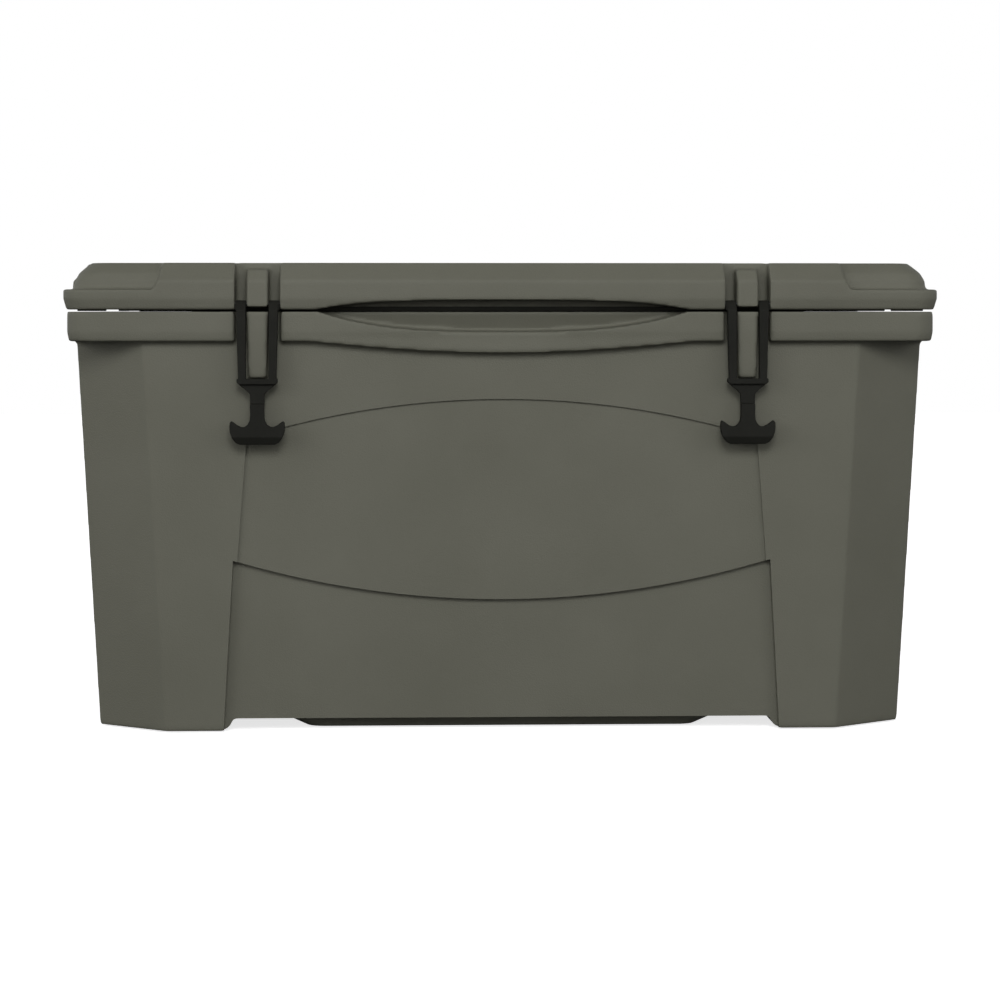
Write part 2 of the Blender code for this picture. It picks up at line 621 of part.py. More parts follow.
# ---- tub -----------------------------------------------------------------------------------
def make_tub():
    """The tub's skin, as one hollow moulding opened by two fill holes, and its foam core."""
    void = cut(tub_block("tub_void", WALL), tub_well("tub_void_well", WALL))
    shell = cut(tub_block("tub_outside", 0.0), tub_well("tub_inside", 0.0), void)
    bulge = []
    for step in range(ARC_STEPS + 1):
        x = BULGE_HALF_X * (1 - 2 * step / ARC_STEPS)
        drop = BULGE_DROP * (1 - (x / BULGE_HALF_X) ** 2)
        bulge.append((x, FLANGE_BOTTOM_Z + FLANGE_SKIRT_TAPER - drop))
    bulge += [(-BULGE_HALF_X, FLANGE_BOTTOM_Z + FLANGE_SKIRT / 2),
              (BULGE_HALF_X, FLANGE_BOTTOM_Z + FLANGE_SKIRT / 2)]
    bulge_front = SHIFT_Y - FLANGE_HALF_Y + FLANGE_SKIRT_TAPER / 2
    bulge_back = SHIFT_Y - BODY_HALF_Y + WALL / 2
    lip = prism("scoop_bulge", bulge, lambda u, v: (u, bulge_front, v),
                lambda co: (co.x, bulge_back, co.z))
    join(shell, cut(lip, scoop("bulge_scoop", 0.0)))
    for side in (-1, 1):
        low = (side * LATCH_X - LATCH_POST_HALF_X, CATCH_Y, CATCH_BOTTOM_Z)
        high = (side * LATCH_X + LATCH_POST_HALF_X, SHIFT_Y - BODY_HALF_Y + WALL, RIM_Z)
        join(shell, box("latch_catch", low, high))
        fill = (side * FILL_X, SHIFT_Y, -OVERSHOOT)
        cut(shell, rod("fill_hole", FILL_RADIUS + GAP, fill, UNDERSIDE_Z + 2 * WALL, 2))
    root_y = SHIFT_Y + FLANGE_HALF_Y - WALL / 2
    outline = [(root_y, RIM_Z), (root_y, FLANGE_BOTTOM_Z + FLANGE_SKIRT),
               (HINGE_Y - KNUCKLE_RADIUS / 2, HINGE_Z - KNUCKLE_RADIUS * 0.86),
               (HINGE_Y, HINGE_Z - KNUCKLE_RADIUS * 0.9), (HINGE_Y, RIM_Z)]
    for span in knuckle_spans(0):
        join(shell, knuckle("tub_knuckle", span, outline))
    cut(shell, ROD_BORE)
    finish(shell, "tub_shell", OLIVE)
    foam = cut(tub_block("tub_core", WALL + GAP), tub_well("tub_core_well", WALL + GAP))
    finish(foam, "tub_foam", FOAM)


# ---- lid -----------------------------------------------------------------------------------
def make_lid():
    """The lid's skin, as one hollow moulding opened by two fill holes, and its foam core."""
    shell = cut(lid_block("lid_outside", 0.0), lid_block("lid_void", WALL))
    for side in (-1, 1):
        low = (side * LATCH_X - LATCH_POST_HALF_X, CATCH_Y, LID_BOTTOM_Z + LID_POST_LIFT)
        high = (side * LATCH_X + LATCH_POST_HALF_X, FRONT_Y + LID_CHANNEL_DEPTH + WALL / 2,
                LID_POST_TOP_Z)
        join(shell, box("lid_post", low, high))
        reach = LATCH_CHANNEL_HALF_X + LATCH_PIN_SEAT + GAP
        start = (side * LATCH_X - reach, PIN_Y, LATCH_PIN_Z)
        cut(shell, rod("pin_hole", LATCH_PIN_RADIUS + LATCH_FIT, start,
                       side * LATCH_X + reach, 0, SIDES_SMALL))
        fill = (side * FILL_X, SHIFT_Y, LID_BOTTOM_Z - LID_STEP_DEPTH - WALL)
        cut(shell, rod("lid_fill_hole", FILL_RADIUS + GAP, fill,
                       LID_BOTTOM_Z - LID_STEP_DEPTH + 2 * WALL, 2))
    root_y = SHIFT_Y + LID_HALF_Y - WALL / 2
    outline = [(root_y, LID_BOTTOM_Z), (HINGE_Y, LID_BOTTOM_Z),
               (HINGE_Y + KNUCKLE_RADIUS * 0.6, HINGE_Z + KNUCKLE_RADIUS * 0.78),
               (HINGE_Y, HINGE_Z + KNUCKLE_RADIUS * 0.97), (root_y, LID_BOTTOM_Z + LID_WEB_HEIGHT)]
    for span in knuckle_spans(1):
        join(shell, knuckle("lid_knuckle", span, outline))
    cut(shell, ROD_BORE)
    finish(shell, "lid_shell", OLIVE)
    finish(lid_block("lid_core", WALL + GAP), "lid_foam", FOAM)
    finish(gasket_ring("gasket", RIM_Z + GAP, LID_BOTTOM_Z + GASKET_SEAT - GAP, 0.0),
           "lid_gasket", RUBBER)


# ---- hinge rod, caps, plugs ----------------------------------------------------------------
def make_hinge_rod():
    """One long steel rod through all the knuckles, held by a push-on cap at each end."""
    end = KNUCKLE_RUN + ROD_END
    finish(rod("rod", HINGE_ROD_RADIUS, (-end, HINGE_Y, HINGE_Z), end, 0), "hinge_rod",
           STEEL, 40)
    for side, label in ((-1, "left"), (1, "right")):
        start = (side * (KNUCKLE_RUN + GAP), HINGE_Y, HINGE_Z)
        cap = rod("cap", CAP_RADIUS, start, side * (KNUCKLE_RUN + CAP_LENGTH), 0,
                  end_radius=CAP_RADIUS * 0.8)
        inside = (side * (KNUCKLE_RUN - ROD_END), HINGE_Y, HINGE_Z)
        cut(cap, rod("cap_bore", HINGE_ROD_RADIUS + GAP, inside, side * (end + GAP), 0))
        finish(cap, "hinge_rod_cap_" + label, BLACK_PLASTIC, 40)


def make_fill_plugs():
    """Plastic discs that close the foam fill holes of the tub and the lid."""
    for prefix, base_z in (("tub", UNDERSIDE_Z), ("lid", LID_BOTTOM_Z - LID_STEP_DEPTH)):
        for side, label in ((-1, "left"), (1, "right")):
            start = (side * FILL_X, SHIFT_Y, base_z + GAP)
            disc = rod("fill_plug", FILL_RADIUS, start, base_z + GAP + FILL_PLUG_THICKNESS, 2)
            finish(disc, prefix + "_fill_plug_" + label, BLACK_PLASTIC, 40)


# ---- latches -------------------------------------------------------------------------------
def latch_arm(name, low_x, high_x):
    """One arm of the rubber latch: an eye on the pin that runs down into a flat strap."""
    outline = [(STRAP_FRONT_Y, CATCH_BOTTOM_Z - CROSSBAR_HEIGHT / 2),
               (STRAP_FRONT_Y, LID_BOTTOM_Z - 0.002)]
    for step in range(11):
        angle = math.radians(150 - 21 * step)
        outline.append((PIN_Y + EYE_RADIUS * math.cos(angle),
                        LATCH_PIN_Z + EYE_RADIUS * math.sin(angle)))
    outline += [(STRAP_BACK_Y, LID_BOTTOM_Z - WALL / 2),
                (STRAP_BACK_Y, CATCH_BOTTOM_Z - CROSSBAR_HEIGHT / 2)]
    return prism(name, outline, lambda u, v: (low_x, u, v), lambda co: (high_x, co.y, co.z))


def make_latches():
    """Two rubber latches, each hung on a steel pin in the lid and hooked under the tub's catch."""
    bar_top = CATCH_BOTTOM_Z - GAP * 2
    bar_low = bar_top - CROSSBAR_HEIGHT
    grip_top = NECK_BOTTOM_Z - 0.001
    half = [(CROSSBAR_HALF_X, bar_top), (CROSSBAR_HALF_X, bar_low), (NECK_HALF_X, NECK_TOP_Z),
            (NECK_HALF_X, NECK_BOTTOM_Z), (GRIP_HALF_X * 0.62, NECK_BOTTOM_Z - 0.0045),
            (GRIP_HALF_X * 0.92, grip_top + 0.0008), (GRIP_HALF_X, grip_top - 0.0035),
            (GRIP_HALF_X * 0.96, GRIP_BOTTOM_Z + 0.006), (GRIP_FLAT_HALF_X, GRIP_BOTTOM_Z)]
    for side, label in ((-1, "left"), (1, "right")):
        middle = side * LATCH_X
        outline = [(middle + x, z) for x, z in half]
        outline += [(middle - x, z) for x, z in reversed(half)]
        strap = prism("strap", outline, lambda u, v: (u, STRAP_FRONT_Y, v),
                      lambda co: (co.x, STRAP_BACK_Y, co.z))
        for low, high in ((ARM_INNER_X, ARM_OUTER_X), (-ARM_OUTER_X, -ARM_INNER_X)):
            join(strap, latch_arm("arm", middle + low, middle + high))
        reach = LATCH_CHANNEL_HALF_X + LATCH_PIN_SEAT
        start = (middle - reach, PIN_Y, LATCH_PIN_Z)
        cut(strap, rod("eye_bore", LATCH_PIN_RADIUS + LATCH_FIT, start, middle + reach, 0, SIDES_SMALL))
        finish(strap, "latch_" + label, RUBBER)
        finish(rod("pin", LATCH_PIN_RADIUS, start, middle + reach, 0, SIDES_SMALL),
               "latch_pin_" + label, STEEL, 40)


# ---- feet ----------------------------------------------------------------------------------
def make_feet():
    """Four round rubber pads let into the corner feet, each held by one steel screw."""
    for facing, end in ((-1, "front"), (1, "rear")):
        for side, label in ((-1, "left"), (1, "right")):
            x, y = side * FOOT_PAD_X, SHIFT_Y + facing * FOOT_PAD_Y
            pad_top = UNDERSIDE_Z + FOOT_PAD_SEAT - GAP
            pad = rod("pad", FOOT_PAD_RADIUS - 0.001, (x, y, 0.0), pad_top, 2,
                      end_radius=FOOT_PAD_RADIUS)
            cut(pad, rod("screw_clearance", SCREW_RADIUS + GAP, (x, y, -GAP), OVERSHOOT, 2,
                         SIDES_SMALL))
            head_top = SCREW_HEAD_RISE + SCREW_HEAD_HEIGHT
            cut(pad, rod("head_clearance", SCREW_HEAD_RADIUS + GAP, (x, y, -GAP),
                         head_top + GAP, 2, SIDES_SMALL))
            finish(pad, "foot_pad_%s_%s" % (end, label), RUBBER, 40)
            screw = rod("screw", SCREW_HEAD_RADIUS, (x, y, SCREW_HEAD_RISE), head_top, 2, SIDES_SMALL)
            join(screw, rod("shank", SCREW_RADIUS, (x, y, SCREW_HEAD_RISE + SCREW_HEAD_HEIGHT / 2),
                            SCREW_HEAD_RISE + SCREW_LENGTH, 2, SIDES_SMALL))
            finish(screw, "foot_screw_%s_%s" % (end, label), STEEL)


# ---- drain ---------------------------------------------------------------------------------
def make_drain():
    """A drain through the right-hand wall: seal, fitting, inner nut, and a screw plug with a ring."""
    inner_face = well_half(WELL_HALF_X, DRAIN_Z - DRAIN_NUT_RADIUS)
    seal_end = DRAIN_FACE_X + GAP + DRAIN_SEAL_THICKNESS
    seal = rod("seal", DRAIN_FLANGE_RADIUS, (DRAIN_FACE_X + GAP, SHIFT_Y, DRAIN_Z), seal_end, 0,
               SIDES_LARGE)
    through = (inner_face - OVERSHOOT, SHIFT_Y, DRAIN_Z)
    cut(seal, rod("seal_hole", DRAIN_TUBE_RADIUS + GAP, through, LID_HALF_X, 0, SIDES_LARGE))
    finish(seal, "drain_fitting_seal", RUBBER, 40)
    flange_start = seal_end + GAP
    flange_end = flange_start + DRAIN_FLANGE_THICKNESS
    fitting = rod("fitting", DRAIN_FLANGE_RADIUS, (flange_start, SHIFT_Y, DRAIN_Z), flange_end, 0,
                  SIDES_LARGE, DRAIN_FLANGE_RADIUS - 0.0015)
    nut_start = inner_face - GAP - 0.0012 - DRAIN_NUT_THICKNESS
    tube_start = (nut_start - DRAIN_TUBE_PROUD, SHIFT_Y, DRAIN_Z)
    join(fitting, rod("tube", DRAIN_TUBE_RADIUS, tube_start, flange_start + GAP, 0, SIDES_LARGE))
    cut(fitting, rod("drain_bore", DRAIN_BORE_RADIUS, through, LID_HALF_X, 0, SIDES_LARGE))
    finish(fitting, "drain_fitting", BLACK_PLASTIC, 40)
    nut = rod("nut", DRAIN_NUT_RADIUS, (nut_start, SHIFT_Y, DRAIN_Z),
              nut_start + DRAIN_NUT_THICKNESS, 0, 8)
    cut(nut, rod("nut_hole", DRAIN_TUBE_RADIUS + GAP, through, LID_HALF_X, 0, SIDES_LARGE))
    finish(nut, "drain_nut", BLACK_PLASTIC)
    ring_start = flange_end + GAP
    ring_end = ring_start + DRAIN_RING_THICKNESS
    ring = rod("ring", DRAIN_RING_RADIUS, (ring_start, SHIFT_Y, DRAIN_Z), ring_end, 0,
               SIDES_LARGE)
    cut(ring, rod("ring_hole", DRAIN_BORE_RADIUS, through, LID_HALF_X, 0, SIDES_LARGE))
    finish(ring, "drain_plug_seal", RUBBER, 40)
    head_start = ring_end + GAP
    plug = rod("plug", DRAIN_HEAD_RADIUS, (head_start, SHIFT_Y, DRAIN_Z),
               head_start + DRAIN_HEAD_LENGTH, 0, SIDES_LARGE, DRAIN_HEAD_RADIUS - 0.001)
    shank_start = (head_start - DRAIN_SHANK_LENGTH, SHIFT_Y, DRAIN_Z)
    join(plug, rod("plug_shank", DRAIN_BORE_RADIUS - DRAIN_FIT, shank_start,
                   head_start + GAP, 0, SIDES_LARGE))
    for index in range(8):
        angle = math.radians(45 * index)
        centre = (head_start - GAP, SHIFT_Y + DRAIN_HEAD_RADIUS * 1.12 * math.cos(angle),
                  DRAIN_Z + DRAIN_HEAD_RADIUS * 1.12 * math.sin(angle))
        cut(plug, rod("grip_flute", DRAIN_HEAD_RADIUS * 0.24, centre, LID_HALF_X, 0, SIDES_SMALL))
    finish(plug, "drain_plug", BLACK_PLASTIC, 40)


make_tub()
make_lid()
make_hinge_rod()
make_fill_plugs()
make_latches()
make_feet()
make_drain()
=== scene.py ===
# %% [markdown]
# # A roto-moulded cooler
# A cooler of this kind is two hollow plastic mouldings, a tub and a lid, filled with foam. The
# machine that makes them leaves every edge soft and every face slightly pebbled. The exact model
# of the cooler is loaded first. It gives every place and size, and this lesson only makes the
# surfaces richer: softer edges, better latches and real finishes.

# %% Load the exact model
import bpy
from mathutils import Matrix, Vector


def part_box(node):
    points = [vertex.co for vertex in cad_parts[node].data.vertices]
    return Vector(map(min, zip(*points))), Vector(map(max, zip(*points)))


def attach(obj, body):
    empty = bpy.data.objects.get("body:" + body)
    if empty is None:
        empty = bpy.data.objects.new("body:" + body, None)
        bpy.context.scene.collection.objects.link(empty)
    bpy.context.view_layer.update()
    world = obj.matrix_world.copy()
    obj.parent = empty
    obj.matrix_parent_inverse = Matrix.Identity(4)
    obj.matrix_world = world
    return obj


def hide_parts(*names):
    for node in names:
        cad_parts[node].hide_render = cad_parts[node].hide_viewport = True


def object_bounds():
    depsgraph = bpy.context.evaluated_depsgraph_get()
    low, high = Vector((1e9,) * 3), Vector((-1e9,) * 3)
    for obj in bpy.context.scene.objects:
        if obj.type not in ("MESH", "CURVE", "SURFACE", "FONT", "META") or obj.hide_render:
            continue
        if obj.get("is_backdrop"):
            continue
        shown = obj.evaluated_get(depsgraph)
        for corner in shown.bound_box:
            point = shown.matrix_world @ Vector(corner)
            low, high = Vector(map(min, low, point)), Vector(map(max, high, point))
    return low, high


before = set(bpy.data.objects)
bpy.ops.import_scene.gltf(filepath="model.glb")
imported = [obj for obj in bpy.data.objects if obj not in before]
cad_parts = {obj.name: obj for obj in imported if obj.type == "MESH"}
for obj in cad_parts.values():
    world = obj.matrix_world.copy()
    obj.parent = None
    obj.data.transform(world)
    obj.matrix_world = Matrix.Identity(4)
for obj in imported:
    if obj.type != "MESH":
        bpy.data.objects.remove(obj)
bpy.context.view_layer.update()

# %% [markdown]
# ## Places that everything shares
# All lengths are metres. The front faces -Y and the ground is Z = 0. The middle of the tub lies a
# little in front of Y = 0, because the hinge sticks out further behind than the latches do in
# front.

# %% Shared places
import math

import bmesh
import bpy

MIDDLE_Y = -0.0105
LID_X, LID_Y = 0.412, 0.2285          # half the lid's length and depth
FRONT_Y = MIDDLE_Y - LID_Y
LID_Z, LID_TOP = 0.3992, 0.4419
RIM_Z, FLANGE_Z = 0.396, 0.3717       # top and bottom of the tub's flange
BODY_X, BODY_Y = 0.4045, 0.2145       # half the body just under the flange
END_TAPER, SIDE_TAPER = math.radians(3.3), math.radians(1.5)
WELL_X, WELL_Y = 0.315, 0.160
LATCH_X = 0.2295
PIN_Y, PIN_Z = -0.2325, 0.4034
HINGE_Y, HINGE_Z = 0.2305, 0.3976
DRAIN_X, DRAIN_Z = 0.366, 0.0925
for name in ("tub_shell", "lid_shell", "latch_left", "drain_plug"):
    low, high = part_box(name)
    print(name, [round(v, 4) for v in low], [round(v, 4) for v in high])

# %% [markdown]
# ## Working by hand, written down
# Modelling by hand is a row of small steps: let go of everything, add a simple form at its place,
# pick some of its faces, and move them. The helpers below are those steps. Nothing may be selected
# by accident, because every operator acts on all that is selected.

# %% Letting go and picking
def let_go():
    """Leave edit mode and deselect everything."""
    if bpy.context.object and bpy.context.object.mode != "OBJECT":
        bpy.ops.object.mode_set(mode="OBJECT")
    bpy.ops.object.select_all(action="DESELECT")


def hold(piece):
    """Select one object and make it the one that operators work on."""
    let_go()
    piece.select_set(True)
    bpy.context.view_layer.objects.active = piece
    return piece


def pick(piece, kind, wanted):
    """Enter edit mode with only the corners, edges or faces selected that pass a test."""
    hold(piece)
    bpy.ops.object.mode_set(mode="EDIT")
    bpy.ops.mesh.select_mode(type=kind)
    bpy.ops.mesh.select_all(action="DESELECT")
    shape = bmesh.from_edit_mesh(piece.data)
    for item in {"VERT": shape.verts, "EDGE": shape.edges, "FACE": shape.faces}[kind]:
        if wanted(item):
            item.select_set(True)
    shape.select_flush_mode()
    bmesh.update_edit_mesh(piece.data)


def put_down(piece):
    """Turn all faces outwards and leave edit mode."""
    bpy.ops.mesh.select_all(action="SELECT")
    bpy.ops.mesh.normals_make_consistent(inside=False)
    bpy.ops.object.mode_set(mode="OBJECT")
    return piece


def settle(name):
    """Name the new object and move its place into its mesh."""
    piece = bpy.context.object
    piece.name = name
    bpy.ops.object.transform_apply(location=True, rotation=True, scale=True)
    return piece


# %% [markdown]
# ## The four forms that the cooler is made of
# Nearly everything here starts as a block, as a stack of level outlines that grow and shrink, as a
# round bar, or as an outline that is drawn point by point and then pushed into a plate.

# %% Block and round bar
def block(name, low, high):
    """A block between two corners."""
    let_go()
    middle = [(a + b) / 2 for a, b in zip(low, high)]
    bpy.ops.mesh.primitive_cube_add(size=1, location=middle,
                                    scale=[b - a for a, b in zip(low, high)])
    return settle(name)


def bar(name, radius, start, length, axis, sides=48, tip=None):
    """A round bar, or a cone if it has a tip, from a point along an axis."""
    let_go()
    turn = {"X": (0, math.radians(90), 0), "Y": (math.radians(-90), 0, 0), "Z": (0, 0, 0)}[axis]
    middle = list(start)
    middle["XYZ".index(axis)] += length / 2
    bpy.ops.mesh.primitive_cone_add(vertices=sides, radius1=radius,
                                    radius2=radius if tip is None else tip, depth=length,
                                    location=middle, rotation=turn)
    return settle(name)


# %% Stack of outlines
def stack(name, levels, corner, steps):
    """Level outlines (height, half length, half depth) from the bottom up, with round corners."""
    let_go()
    height, half_x, half_y = levels[0]
    bpy.ops.mesh.primitive_plane_add(size=1, location=(0, MIDDLE_Y, height))
    piece = settle(name)
    bpy.ops.object.mode_set(mode="EDIT")
    bpy.ops.mesh.select_all(action="SELECT")
    bpy.ops.transform.resize(value=(2 * half_x, 2 * half_y, 1),
                             center_override=(0, MIDDLE_Y, height))
    if corner:
        bpy.ops.mesh.bevel(offset=corner, segments=steps, affect="VERTICES")
    for level, before in zip(levels[1:], levels):
        bpy.ops.mesh.extrude_region_move(
            TRANSFORM_OT_translate={"value": (0, 0, level[0] - before[0])})
        bpy.ops.transform.resize(value=(level[1] / before[1], level[2] / before[2], 1),
                                 center_override=(0, MIDDLE_Y, level[0]))
    return put_down(piece)


# %% Drawn plate
def plate(name, outline, push):
    """Draw an outline by extruding one corner from point to point, fill it, and push the face."""
    let_go()
    bpy.ops.mesh.primitive_plane_add(size=0.001, location=outline[0])
    piece = settle(name)
    bpy.ops.object.mode_set(mode="EDIT")
    bpy.ops.mesh.select_mode(type="VERT")
    bpy.ops.mesh.select_all(action="SELECT")
    bpy.ops.mesh.merge(type="CENTER")
    for here, there in zip(outline, outline[1:]):
        bpy.ops.mesh.extrude_region_move(
            TRANSFORM_OT_translate={"value": [b - a for a, b in zip(here, there)]})
    bpy.ops.mesh.select_all(action="SELECT")
    bpy.ops.mesh.edge_face_add()
    bpy.ops.mesh.extrude_region_move(TRANSFORM_OT_translate={"value": push})
    return put_down(piece)


# %% [markdown]
# ## Adding, taking away and moulding
# Boolean modifiers join and cut forms. Roto-moulding then softens every edge at once, which is
# what the last helper copies: a fine remesh turns the form into an even skin, a smooth rounds its
# edges, and a decimate drops the faces that the flat parts don't need. A bevel could round the
# edges too, but it breaks where many cuts meet.

# %% Join, cut and mould
def apply_modifier(piece, kind, **settings):
    """Add one modifier, set it and apply it."""
    hold(piece)
    step = piece.modifiers.new("step", kind)
    for key, value in settings.items():
        setattr(step, key, value)
    bpy.ops.object.modifier_apply(modifier=step.name)


def combine(piece, others, operation):
    """Join or cut with other forms, which are used up."""
    for other in others:
        apply_modifier(piece, "BOOLEAN", operation=operation, solver="EXACT", object=other)
        bpy.data.objects.remove(other, do_unlink=True)
    return piece


def weld(piece, *others):
    return combine(piece, others, "UNION")


def carve(piece, *tools):
    return combine(piece, tools, "DIFFERENCE")


def gather(pieces):
    """Put forms that don't touch into one object, so that they cut in one go."""
    let_go()
    for piece in pieces:
        piece.select_set(True)
    bpy.context.view_layer.objects.active = pieces[0]
    bpy.ops.object.join()
    return bpy.context.object


def mould(piece, grain, rounds, triangles):
    """Soften all edges like a moulding: remesh with an even grain, smooth, and thin the flats."""
    apply_modifier(piece, "REMESH", mode="VOXEL", voxel_size=grain)
    apply_modifier(piece, "SMOOTH", factor=0.5, iterations=rounds)
    faces = 2 * len(piece.data.polygons)
    if faces > triangles:
        apply_modifier(piece, "DECIMATE", ratio=triangles / faces)
    print(piece.name, "moulded:", len(piece.data.polygons), "faces")
    return piece


# %% [markdown]
# ## The tub's body
# The body of the real tub tapers so that it leaves its mould, more at its ends than at its front
# and back, and a slanting facet cuts off each of its four corners. An eight-cornered outline is
# drawn at the bottom and pushed up. Then each side of its top is moved outwards by what the taper
# asks for. A bevel would cut the corners too, but only at 45 degrees.

# %% Body block
def half_x(z):
    return BODY_X - (FLANGE_Z - z) * math.tan(END_TAPER)


def half_y(z):
    return BODY_Y - (FLANGE_Z - z) * math.tan(SIDE_TAPER)


FOOT_Z, BODY_TOP = 0.0015, 0.384
FACET_X, FACET_Y = 0.067, 0.045       # length and depth of a corner's facet
foot_x, foot_y = half_x(FOOT_Z), half_y(FOOT_Z)
quarter = [(foot_x, foot_y - FACET_Y), (foot_x - FACET_X, foot_y)]
corners = quarter + [(-x, y) for x, y in reversed(quarter)]
corners += [(x, -y) for x, y in reversed(corners)]
tub = plate("tub_moulding", [(x, MIDDLE_Y + y, FOOT_Z) for x, y in corners],
            (0, 0, BODY_TOP - FOOT_Z))
for way in (-1, 1):
    pick(tub, "VERT", lambda vert: vert.co.z > 0.2 and way * vert.co.x > 0)
    bpy.ops.transform.translate(value=(way * (half_x(BODY_TOP) - foot_x), 0, 0))
    put_down(tub)
    pick(tub, "VERT", lambda vert: vert.co.z > 0.2 and way * (vert.co.y - MIDDLE_Y) > 0)
    bpy.ops.transform.translate(value=(0, way * (half_y(BODY_TOP) - foot_y), 0))
    put_down(tub)
print("body", len(tub.data.polygons), "faces")

# %% [markdown]
# ## The flange and its finger lip
# The flange runs round the rim and carries the lid. At the middle of the front it bulges down
# into a lip, so that fingers find the scoop above it. The flange is a stack of outlines, and the
# lip is a drawn plate whose lower edge follows a long soft curve.

# %% Flange, lip and scoop
def lip_drop(x, half=0.198, drop=0.0122):
    """How far the lip hangs below the flange."""
    return drop * max(0.0, 1 - (x / half) ** 2) ** 1.2


def scoop_outline(y):
    """The lens-shaped mouth of the finger scoop, lower edge first."""
    steps = [1 - n / 24 for n in range(49)]
    reach = 0.1775
    lower = [(reach * s, y, HINGE_Z - 0.0216 * (1 - abs(s) ** 3)) for s in steps]
    upper = [(-reach * s, y, HINGE_Z + 0.0093 * (1 - abs(s) ** 4)) for s in steps[1:-1]]
    return lower + upper


weld(tub, stack("flange", [(FLANGE_Z - 0.0035, 0.4072, 0.2237), (0.3765, 0.4088, 0.2253),
                           (RIM_Z, 0.4088, 0.2253)], 0.022, 6))
LIP_HALF_X, LIP_FRONT, LIP_TOP = 0.198, MIDDLE_Y - 0.2245, 0.380
across = [LIP_HALF_X * (1 - n / 24) for n in range(49)]
weld(tub, plate("lip", [(x, LIP_FRONT, FLANGE_Z - 0.0020 - lip_drop(x)) for x in across]
                + [(-LIP_HALF_X, LIP_FRONT, LIP_TOP), (LIP_HALF_X, LIP_FRONT, LIP_TOP)],
                (0, 0.014, 0)))
SCOOP_BACK = FRONT_Y + 0.019          # the scoop's rear wall, which leans back under the fingers
SCOOP_LEAN = math.radians(24)
scoop = plate("scoop", scoop_outline(FRONT_Y - 0.05), (0, 0.069, 0))
pick(scoop, "VERT", lambda vert: vert.co.y > FRONT_Y)
bpy.ops.transform.rotate(value=-SCOOP_LEAN, orient_axis="X",
                         center_override=(0, SCOOP_BACK, HINGE_Z))
put_down(scoop)
carve(tub, scoop)
print("flange, lip and scoop on:", len(tub.data.polygons), "faces")

# %% [markdown]
# ## Channels, hand holds and feet
# The ends have a pocket to lift by, with an undercut for the finger tips. Two crossing channels
# under the tub leave four feet, and a shallow belly hangs between them. All of these are plates
# and blocks that are cut away from the body or joined to it.

# %% Cuts in the flange and the ends
for side in (-1, 1):
    carve(tub, block("latch_channel", (side * LATCH_X - 0.0212, FRONT_Y - 0.05, FLANGE_Z - 0.004),
                     (side * LATCH_X + 0.0212, MIDDLE_Y - BODY_Y, 0.41)))
    pocket = [(0.355, 0.3327), (0.366, 0.3217), (0.46, 0.3217), (0.46, FLANGE_Z),
              (0.3878, FLANGE_Z), (0.3878, 0.3827), (0.355, 0.3827)]
    carve(tub, plate("pocket", [(side * x, MIDDLE_Y - 0.075, z) for x, z in pocket],
                     (0, 0.15, 0)))
    low, high = -0.05, 0.250          # the sunk panel's reach in height
    lower, upper = [half_x(z) - 0.005 for z in (low, high)]
    sunk = ((lower, low), (0.5, low), (0.5, high), (upper, high))
    carve(tub, plate("end_panel", [(side * x, MIDDLE_Y - 0.108, z) for x, z in sunk],
                     (0, 0.216, 0)))
print("ends cut:", len(tub.data.polygons), "faces")

# %% Feet and belly
FOOT_GAP = 0.1015                     # half the gap between front and rear feet
carve(tub, block("channel_long", (-0.5, MIDDLE_Y - FOOT_GAP, -0.05),
                 (0.5, MIDDLE_Y + FOOT_GAP, 0.0123)))
toe = [(0.2545, 0.0123), (0.2550, 0.0093), (0.2565, 0.0060), (0.2595, 0.0031), (0.2640, 0.0012),
       (0.2670, -0.05)]
carve(tub, plate("channel_cross", [(x, MIDDLE_Y - 0.3, z) for x, z in toe]
                 + [(-x, MIDDLE_Y - 0.3, z) for x, z in reversed(toe)], (0, 0.6, 0)))
weld(tub, stack("belly", [(FOOT_Z, 0.1851, 0.1786), (0.0168, 0.2141, 0.1931)], 0.0145, 4))
print("feet cut:", len(tub.data.polygons), "faces")

# %% [markdown]
# ## Catches and hinge knuckles
# Under each lid post the tub has a catch that the rubber latch hooks under. It narrows towards its
# lower end and its face leans back. At the rear, every other knuckle of the long hinge belongs to
# the tub. One catch and one knuckle are modelled for each place where they stand.

# %% Catches
def catch(middle):
    """The tub's part of a latch seat."""
    face = FRONT_Y + 0.0005
    outline = [(face, RIM_Z), (face, 0.3785), (face + 0.0034, 0.334),
               (MIDDLE_Y - BODY_Y + 0.006, 0.334), (MIDDLE_Y - BODY_Y + 0.006, RIM_Z)]
    made = plate("catch", [(middle - 0.0100, y, z) for y, z in outline], (0.0200, 0, 0))
    pick(made, "VERT", lambda vert: vert.co.z < 0.34)
    bpy.ops.transform.resize(value=(0.87, 1, 1), center_override=(middle, 0, 0))
    put_down(made)
    pick(made, "EDGE", lambda edge: abs(edge.verts[0].co.y - edge.verts[1].co.y) > 0.015
         and max(v.co.z for v in edge.verts) < 0.34)
    bpy.ops.mesh.bevel(offset=0.0025, segments=3)
    return put_down(made)


def knuckle_spans(first):
    """The stretches of every other knuckle along the hinge."""
    pitch = 0.640 / 11
    return [(-0.320 + n * pitch + 0.0007, pitch - 0.0014) for n in range(first, 11, 2)]


def knuckle(start, length, web):
    """One barrel of the hinge with the web that joins it to its moulding."""
    barrel = bar("knuckle", 0.011, (start, HINGE_Y, HINGE_Z), length, "X", 32)
    return weld(barrel, plate("web", [(start, y, z) for y, z in web], (length, 0, 0)))


